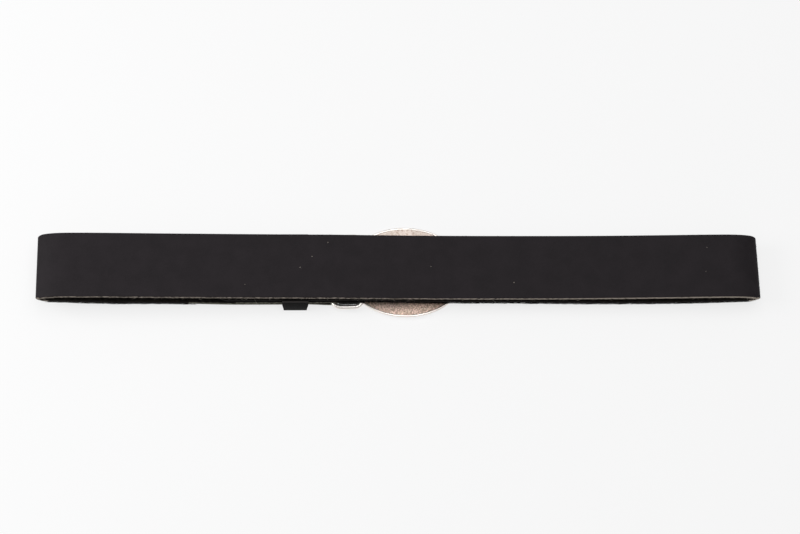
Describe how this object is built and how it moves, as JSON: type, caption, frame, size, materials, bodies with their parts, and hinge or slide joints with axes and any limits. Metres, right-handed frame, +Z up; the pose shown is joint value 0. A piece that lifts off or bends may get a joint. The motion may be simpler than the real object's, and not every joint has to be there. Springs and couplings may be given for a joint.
{
  "type": "fur-trimmed leather belt",
  "caption": "Black leather waist belt with hair-on fur strips on its front, an oval plate buckle on a wire ring and a keeper, fastened and lying flattened on its face.",
  "frame": {"origin": "under the middle of the flattened loop, on the surface that the belt lies on", "axes": "+X along the flattened loop, +Y across the strap towards its far edge, +Z up from the surface, away from the buckle's face"},
  "size_m": [0.4228, 0.055, 0.0197],
  "materials": {
    "strap_leather": "matt black full-grain leather with a raw tan cut edge",
    "keeper_leather": "matt black leather, edges dyed black",
    "black_fur": "short black hair on the hide, lying along the strap",
    "aged_silver": "antique silver plate over a cast plate, with a speckled back and a bright rim",
    "ring_wire": "bright plated steel wire"
  },
  "bodies": {
    "root": {"strap": "strap_leather", "keeper": "keeper_leather", "fur_strip_left": "black_fur", "fur_strip_right": "black_fur", "buckle_plate": "aged_silver", "buckle_ring": "ring_wire"}
  },
  "joints": []
}
